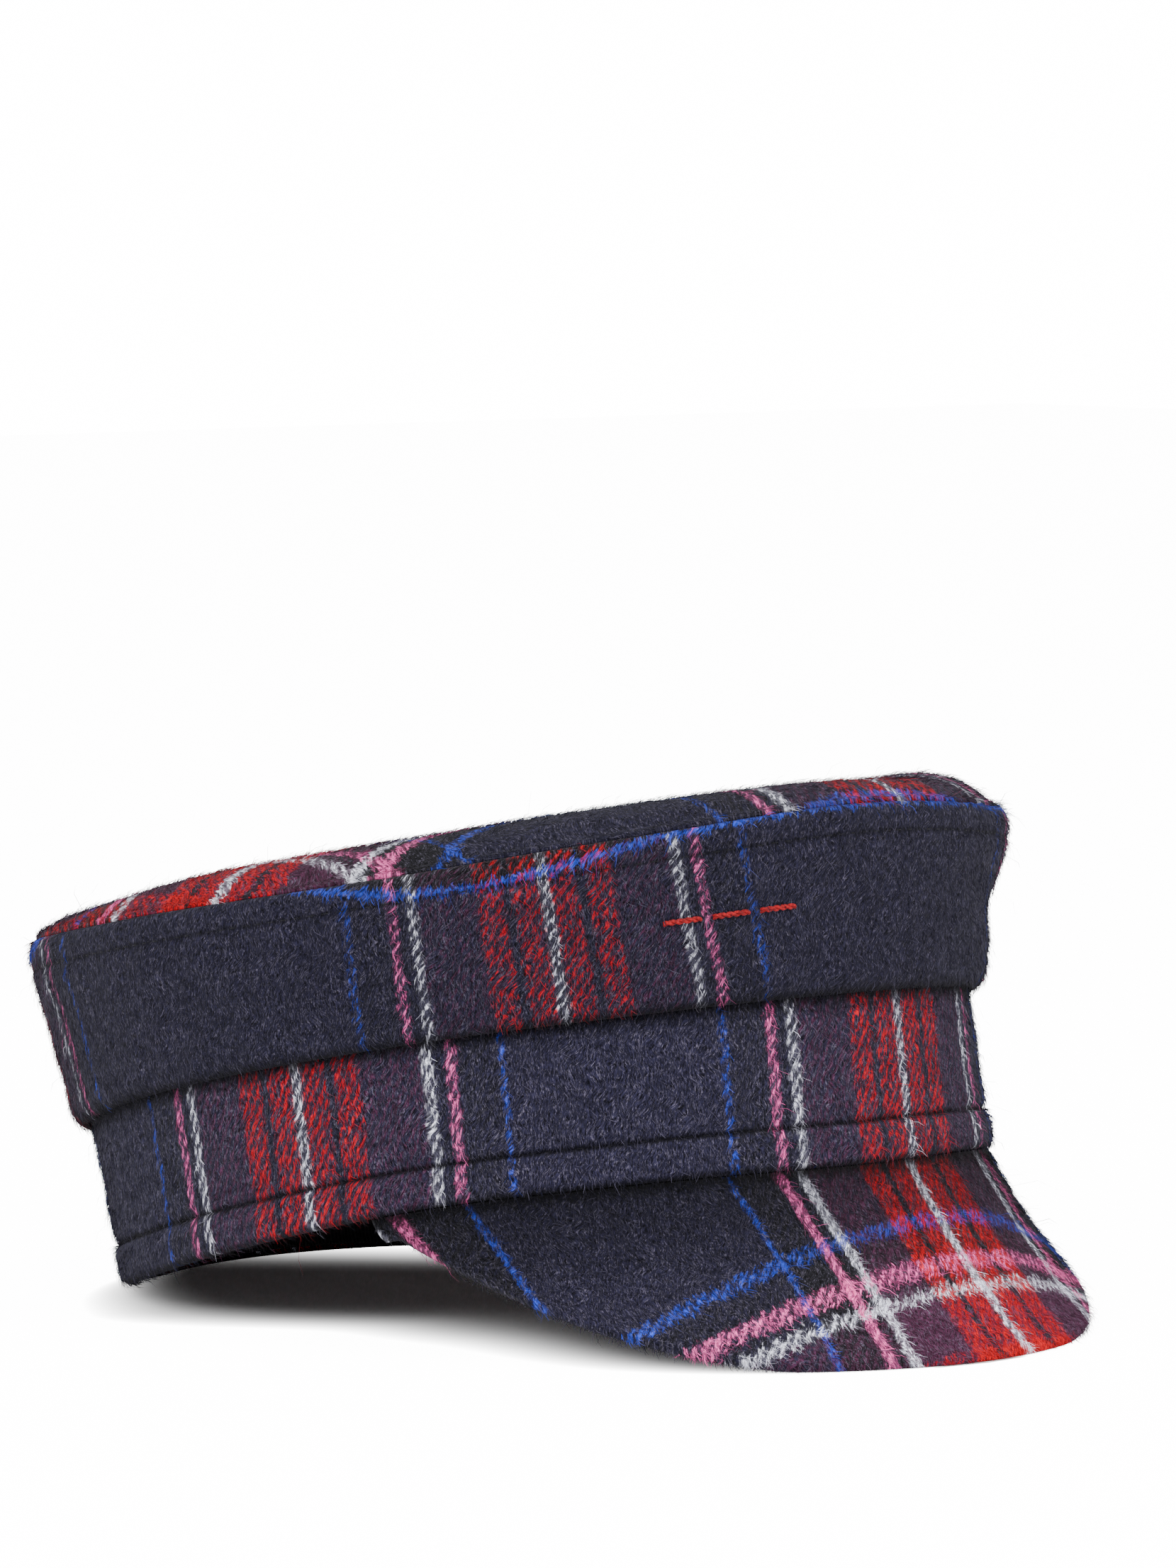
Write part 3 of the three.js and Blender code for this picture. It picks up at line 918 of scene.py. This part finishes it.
class Finish:
    # one material with its Principled shader and a single method for every other node
    def __init__(self, name, constants):
        self.material = bpy.data.materials.new(name)
        self.material.use_nodes = True
        self.nodes = self.material.node_tree.nodes
        self.links = self.material.node_tree.links
        self.shader = self.nodes["Principled BSDF"]
        for socket, value in constants.items():
            self.shader.inputs[socket].default_value = value

    def node(self, kind, settings, inputs):
        made = self.nodes.new(kind)
        for key, value in settings.items():
            if key == "stops":
                self.fillRamp(made.color_ramp, value)
            else:
                setattr(made, key, value)
        for key, value in inputs.items():
            self.feed(made.inputs[key], value)
        return Placed(self, made)

    def fillRamp(self, ramp, stops):
        while len(ramp.elements) > 1:
            ramp.elements.remove(ramp.elements[0])
        ramp.elements[0].position = stops[0][0]
        ramp.elements[0].color = (*stops[0][1], 1)
        for position, colour in stops[1:]:
            ramp.elements.new(position).color = (*colour, 1)

    def feed(self, socket, value):
        if isinstance(value, Link):
            self.links.new(value.socket, socket)
        else:
            socket.default_value = value

    def paint(self, colour):
        self.feed(self.shader.inputs["Base Color"], colour)

    def emboss(self, height, strength, distance):
        inputs = {"Height": height, "Strength": strength, "Distance": distance}
        self.feed(self.shader.inputs["Normal"], self.node("ShaderNodeBump", {}, inputs).out(0))

    def blend(self, share, first, second, kind="MIX"):
        settings = {"data_type": "RGBA", "blend_type": kind}
        return self.node("ShaderNodeMix", settings, {0: share, 6: first, 7: second}).out(2)

    def grey(self, value):
        return self.node("ShaderNodeCombineColor", {}, {0: value, 1: value, 2: value}).out(0)

    def shaded(self, colour, value):
        return self.blend(1.0, colour, self.grey(value), "MULTIPLY")

    def texture(self, vector, scale, detail, rough):
        inputs = {"Vector": vector, "Scale": scale, "Detail": detail, "Roughness": rough}
        return self.node("ShaderNodeTexNoise", {"noise_dimensions": "3D"}, inputs)

    def noise(self, vector, scale, detail=2.0, rough=0.5):
        return self.texture(vector, scale, detail, rough).out("Fac")

    def noiseParts(self, vector, scale, detail, rough):
        # one noise with three colour channels that have nothing to do with each other
        colour = self.texture(vector, scale, detail, rough).out("Color")
        return self.node("ShaderNodeSeparateColor", {}, {0: colour})

    def parts(self, vector):
        return self.node("ShaderNodeSeparateXYZ", {}, {0: vector})

    def uvParts(self, layer):
        return self.parts(self.node("ShaderNodeUVMap", {"uv_map": layer}, {}).out(0))

    def objectPlace(self):
        return self.node("ShaderNodeTexCoord", {}, {}).out("Object")

    def vector(self, x, y, z=0.0):
        return self.node("ShaderNodeCombineXYZ", {}, {0: x, 1: y, 2: z}).out(0)

    def spread(self, value, low, high, to=(0.0, 1.0), smooth=True):
        kind = "SMOOTHSTEP" if smooth else "LINEAR"
        ranged = self.node(
            "ShaderNodeMapRange",
            {"interpolation_type": kind},
            {"Value": value, "From Min": low, "From Max": high, "To Min": to[0], "To Max": to[1]},
        )
        return ranged.out("Result")


wool = {
    "white": (0.80, 0.80, 0.93),
    "red": (0.43, 0.002, 0.006),
    "black": (0.008, 0.0078, 0.0105),
    "aubergine": (0.052, 0.0135, 0.035),
    "pink": (0.84, 0.14, 0.40),
    "blue": (0.020, 0.050, 0.42),
    "navy": (0.0125, 0.0115, 0.0255),
    # the pale fibres of the nap: partly their own grey, partly a painted sheen
    "fibre": (0.19, 0.17, 0.24, 1),
    "floatWide": 2.3,  # how far the weave repeats across the warp
    "floatLong": 3.1,  # and along it
    "lean": 0.3,  # the brushed fibres lean this far aside for each step up
    "drag": 6.5,  # how far the nap pulls a colour along the warp
    "spreadOut": 2.4,  # and across it
    "redHides": 2.4,  # how soon the pale fibres vanish as a stripe turns red
}


def sett(swell):
    # the tartan from the middle of a red block to the middle of the navy field, as ramp stops
    c = wool
    s = swell  # the thin lines grow by this much on each side
    bands = [
        (0.0, 0.85 + s, c["white"]),
        (1.5 + s, 7.2, c["red"]),
        (7.8, 9.2, c["black"]),
        (9.8, 15.2, c["red"]),
        (15.9, 29.5, c["aubergine"]),
        (30.4, 31.9, c["white"]),
        (32.6, 34.7 - s / 3, c["black"]),
        (35.3 - s / 3, 36.9 + s, c["pink"]),
        (37.6 + s, 46.3 - s, c["black"]),
        (46.8 - s, tartan["fieldEdge"] + s, c["blue"]),
        (48.1 + s, 70.5, c["navy"]),
    ]
    half = tartan["repeat"] / 2
    return [(edge / half, colour) for first, last, colour in bands for edge in (first, last)]


def tartanColour(finish, weave):
    cloth, pattern = finish.uvParts("cloth"), finish.uvParts("pattern")
    across, along = cloth.out(0), cloth.out(1)
    # the brushed fibres lie in long streaks that lean aside and bend a little
    bow = finish.noise(finish.vector(across * 0.09, along * 0.09, 5.0), 1.0, 2.0) - 0.5
    leaning = across - along * wool["lean"] + bow * 9
    streaks = finish.noiseParts(finish.vector(leaning * 2.0, along * 0.4, 1.0), 1.0, 3.0, 0.55)
    drift = finish.noise(finish.vector(across * 0.4, along * 0.14), 1.0, 2.0) - 0.5
    sideways = (streaks.out(0) - 0.5) * wool["spreadOut"] + drift * 1.6
    lengthways = (streaks.out(1) - 0.5) * wool["drag"]
    half = tartan["repeat"] / 2
    warpShare = (pattern.out(0) + sideways).maths("PINGPONG", half) / half
    weftShare = (pattern.out(1) + lengthways + drift * 2).maths("PINGPONG", half) / half
    warp = finish.node("ShaderNodeValToRGB", {"stops": sett(0.0)}, {0: warpShare}).out(0)
    weft = finish.node("ShaderNodeValToRGB", {"stops": sett(weave["swell"])}, {0: weftShare}).out(0)
    phase = (across + sideways * 0.8) / wool["floatWide"] - (along + lengthways * 0.5) / wool["floatLong"]
    twill = phase.maths("PINGPONG", 0.5) * 2 + (streaks.out(2) - 0.5) * 2.8
    low, high = weave["range"]
    weftShows = finish.spread(twill, low, high, weave["shares"])
    colour = finish.blend(weftShows, warp, weft)
    # painted shade: the piece's tone stands in for how much light falls on it, and seams, stitch lines, folds
    # and the band under the roll are darkened where shade falls
    paintedShade = weave["tone"]
    for at, reach, least in weave["creases"]:
        gap = (along - at).maths("ABSOLUTE")
        paintedShade = finish.spread(gap, 0.0, reach, (least, 1.0)) * paintedShade
    return finish.shaded(colour, paintedShade), leaning, across, along, weftShows, paintedShade


def paleFibresAndSheen(finish, colour, light):
    # pale fibres, partly their own grey and partly a painted sheen, show on the dark stripes and hardly on
    # the red ones
    red = finish.node("ShaderNodeSeparateColor", {}, {0: colour}).out(0)
    light = light * (1.0 - red * wool["redHides"]).maths("MAXIMUM", 0.0)
    return finish.blend(light, colour, wool["fibre"], "LIGHTEN")


def brushedWool(name, weave):
    constants = {"Roughness": 0.95, "Sheen Weight": 0.03, "Sheen Roughness": 0.5, "Specular IOR Level": 0.08}
    finish = Finish(name, constants)
    colour, leaning, across, along, weftShows, paintedShade = tartanColour(finish, weave)
    hairs = finish.noiseParts(finish.vector(leaning * 3.1, along * 0.7, 8.0), 1.0, 3.0, 0.65)
    fine = finish.noise(finish.vector(leaning * 6.5, along * 1.5, 2.0), 1.0, 2.0, 0.6)
    cloud = finish.noise(finish.vector(across * 0.3, along * 0.2, 9.0), 1.0, 3.0)
    dark = finish.spread(hairs.out(0), 0.34, 0.66, (0.12, 1.75))
    colour = finish.shaded(colour, dark * (0.6 + cloud * 0.8))
    # flecks of pale fibres, partly their own grey and partly a painted sheen, fewer in the painted shade
    light = finish.spread(fine + (hairs.out(1) - 0.5) * 1.1, 0.52, 0.82, (0.0, 0.55)) * paintedShade
    finish.paint(paleFibresAndSheen(finish, colour, light))
    finish.emboss(hairs.out(0) * 0.7 + fine * 0.25 + weftShows * 0.2 + cloud * 0.5, 0.7, 0.0007)
    return finish.material


def napFibres(name, weave):
    constants = {"Roughness": 0.85, "Sheen Weight": 0.05, "Sheen Roughness": 0.5, "Specular IOR Level": 0.15}
    finish = Finish(name, constants)
    colour, _, _, _, _, paintedShade = tartanColour(finish, weave)
    tone = finish.node("ShaderNodeAttribute", {"attribute_name": "fibreTone"}, {}).out("Fac")
    colour = finish.shaded(colour, finish.spread(tone, 0.0, 1.0, (0.35, 1.45), False))
    # the paler fibres are lightened, partly their own grey and partly a painted sheen
    finish.paint(paleFibresAndSheen(finish, colour, finish.spread(tone, 0.55, 1.0, (0.0, 0.35)) * paintedShade))
    return finish.material


def wovenTape():
    finish = Finish("black woven tape", {"Roughness": 0.75, "Sheen Weight": 0.15, "Specular IOR Level": 0.25})
    cloth = finish.uvParts("cloth")
    ribs = (cloth.out(0) / 0.9).maths("PINGPONG", 0.5) * 2
    fleck = finish.noise(finish.vector(cloth.out(0) * 2.5, cloth.out(1) * 2.5), 1.0, 3.0)
    finish.paint(finish.blend(ribs * 0.6 + fleck * 0.4, (0.006, 0.006, 0.008, 1), (0.022, 0.021, 0.026, 1)))
    finish.emboss(ribs, 0.5, 0.0002)
    return finish.material


def thread(name, low, high, rough):
    finish = Finish(name, {"Roughness": rough, "Sheen Weight": 0.05, "Specular IOR Level": 0.2})
    fleck = finish.noise(finish.objectPlace(), 1800.0)
    finish.paint(finish.blend(finish.spread(fleck, 0.35, 0.65), (*low, 1), (*high, 1)))
    finish.emboss(fleck, 0.4, 0.0002)
    return finish.material


def dress(piece, material):
    piece.data.materials.clear()
    piece.data.materials.append(material)


# On each piece: where the twill turns from warp to weft, the least and the most that the weft shows through
# the nap, how much the weft's thin lines spread, the tone, a painted shade for how much light falls on the
# piece, and the painted shade at the creases as how far up, how wide and how dark.
weaves = {
    "side": {
        "range": (-0.1, 0.55),
        "shares": (0.25, 0.98),
        "swell": 0.3,
        "tone": 0.82,
        "creases": ((crownSide["stitchRise"], 1.0, 0.45), (42.2, 1.6, 0.4), (0.0, 2.6, 0.3)),
    },
    "band": {
        "range": (0.0, 0.65),
        "shares": (0.2, 0.97),
        "swell": 0.0,
        "tone": 1.06,
        "creases": ((headband["hemHeight"], 1.1, 0.15), (35.6, 5.0, 0.1), (0.0, 1.7, 0.25)),
    },
    "tip": {"range": (0.1, 0.6), "shares": (0.12, 0.88), "swell": 0.4, "tone": 0.72, "creases": ()},
    "peak": {
        "range": (0.3, 0.7),
        "shares": (0.06, 0.8),
        "swell": 0.9,
        "tone": 1.1,
        "creases": ((0.0, 4.0, 0.15), (0.0, 36.0, 0.42)),
    },
}
dressed = {
    "side": (sidePiece, napPieces[0]),
    "band": (bandPiece, napPieces[1]),
    "tip": (tipPiece, napPieces[2]),
    "peak": (peakPiece, napPieces[3]),
}
for key, (piece, fibres) in dressed.items():
    dress(piece, brushedWool(key + " tartan wool", weaves[key]))
    dress(fibres, napFibres(key + " wool fibres", weaves[key]))
dress(sweatPiece, wovenTape())
darkThread = thread("dark sewing thread", (0.003, 0.003, 0.004), (0.008, 0.008, 0.011), 0.8)
dress(hemStitches, darkThread)
dress(rimStitches, darkThread)
dress(redRow, thread("red embroidery thread", (0.13, 0.0008, 0.002), (0.34, 0.003, 0.006), 0.6))
print("materials made")

# table, light and camera
studio = {
    "azimuth": -41.1184,
    "elevation": 7.0408,
    "distance": 2.0,
    "pixelsPerMm": 6.47185,
    "aim": (783.795, 1713.492),
    "imageSize": (1659, 2212),
    "ambient": 0.7,
    "backdrop": 16.0,
    "tableTop": -0.0002,
}
# The painted shadow under the cap is an oval, in metres, where the table's glow fades out. Its fading starts
# further out at the back, on which the cap rests, and at the front, where the edge of the peak comes down.
tableShade = {
    "halfWide": 0.093,
    "back": 0.107,
    "front": 0.129,
    "pastEnds": 80,
    "start": 0.31,
    "startBack": 0.37,
    "startFront": 0.25,
    "fadeOver": 0.46,
    "farLean": 1.1,
    "farFrom": 0.063,
    "farOver": 0.07,
    "depth": 7.0,
}


def makeTable():
    bm = bmesh.new()
    level = Matrix.Translation((0, 0, studio["tableTop"]))
    bmesh.ops.create_grid(bm, x_segments=1, y_segments=1, size=4.0, matrix=level)
    table = addObject("table", meshFrom(bm, "table"))
    constants = {"Base Color": (0.92, 0.92, 0.92, 1), "Roughness": 0.6, "Emission Strength": 14.0}
    finish = Finish("glowing pale table with painted shadow", constants)
    # painted light and shadow: the table glows white to the camera away from the cap, and under the cap the
    # glow fades out in a painted shadow, so only the lamps light it there
    k = tableShade
    place = finish.parts(finish.objectPlace())
    x, y = place.out(0).maths("ABSOLUTE"), place.out(1)
    reach = y.maths("MAXIMUM", 0.0) / k["back"] + y.maths("MINIMUM", 0.0) / -k["front"]
    chord = (1.0 - reach * reach).maths("MAXIMUM", 0.02).maths("SQRT")
    away = x / k["halfWide"] / chord + (reach - 1.0).maths("MAXIMUM", 0.0) * k["pastEnds"]
    start = finish.spread(y, -0.01, 0.05) * k["startBack"]
    start = start + finish.spread(y * -1.0, 0.03, 0.11) * k["startFront"] + k["start"]
    # painted light: the glow reaches in under the hem, standing in for light from the far side
    under = (place.out(0) * k["farLean"] + y - k["farFrom"]) / k["farOver"]
    fade = ((away - start) / k["fadeOver"]).maths("MAXIMUM", 0.0)
    fade = fade.maths("MAXIMUM", under).maths("MINIMUM", 1.0)
    # painted light: only the camera sees the table's glow
    seen = finish.node("ShaderNodeLightPath", {}, {}).out("Is Camera Ray")
    glow = ((fade - 1.0) * k["depth"]).maths("EXPONENT") * seen
    finish.feed(finish.shader.inputs["Emission Color"], finish.grey(glow))
    dress(table, finish.material)


softLights = {
    "key": {"power": 34, "size": (1.0, 0.9), "spot": (-1.5, -0.5, 1.0)},
    "fill": {"power": 24, "size": (1.0, 0.9), "spot": (0.5, -1.5, 0.9)},
    "top": {"power": 20, "size": (1.4, 1.4), "spot": (-0.2, -0.3, 1.9)},
}


def makeLights():
    # all of them face the middle of the cap
    middle = Vector((0, 0, 0.05))
    for name, settings in softLights.items():
        light = bpy.data.lights.new(name, "AREA")
        light.energy = settings["power"]
        light.shape = "RECTANGLE"
        light.size, light.size_y = settings["size"]
        lamp = addObject(name, light)
        lamp.location = settings["spot"]
        lamp.rotation_euler = (middle - Vector(settings["spot"])).to_track_quat("-Z", "Y").to_euler()


def makeCamera():
    k = studio
    azimuth, elevation = math.radians(k["azimuth"]), math.radians(k["elevation"])
    level = math.cos(elevation)
    back = Vector((math.sin(azimuth) * level, -math.cos(azimuth) * level, math.sin(elevation)))
    right = Vector((math.cos(azimuth), math.sin(azimuth), 0))
    up = back.cross(right)
    focal = k["pixelsPerMm"] * k["distance"] * 1000
    width, height = k["imageSize"]
    # the aim is the pixel at which the middle of the hem appears
    hemCentre = Vector(capForm["hemCentre"]) / 1000
    aside = k["aim"][0] - width / 2
    below = k["aim"][1] - height / 2
    forward = (-back * focal - right * aside + up * below).normalized()
    camera = bpy.data.cameras.new("camera")
    camera.sensor_width = 36
    camera.lens = focal * camera.sensor_width / max(width, height)
    camera.clip_end = 50
    eye = addObject("camera", camera)
    eye.location = hemCentre + back * k["distance"]
    eye.rotation_euler = forward.to_track_quat("-Z", "Y").to_euler()
    bpy.context.scene.camera = eye


def makeWorld():
    # the backdrop is white to look at, and lights the cap softly
    world = bpy.data.worlds.new("studio")
    bpy.context.scene.world = world
    world.use_nodes = True
    nodes, links = world.node_tree.nodes, world.node_tree.links
    background = nodes["Background"]
    background.inputs["Color"].default_value = (1.0, 1.0, 1.0, 1)
    seen = nodes.new("ShaderNodeLightPath")
    strength = nodes.new("ShaderNodeMapRange")
    strength.inputs["To Min"].default_value = studio["ambient"]
    strength.inputs["To Max"].default_value = studio["backdrop"]
    links.new(seen.outputs["Is Camera Ray"], strength.inputs["Value"])
    links.new(strength.outputs["Result"], background.inputs["Strength"])


makeTable()
makeCamera()
makeWorld()
makeLights()
print("stage, light and camera made")
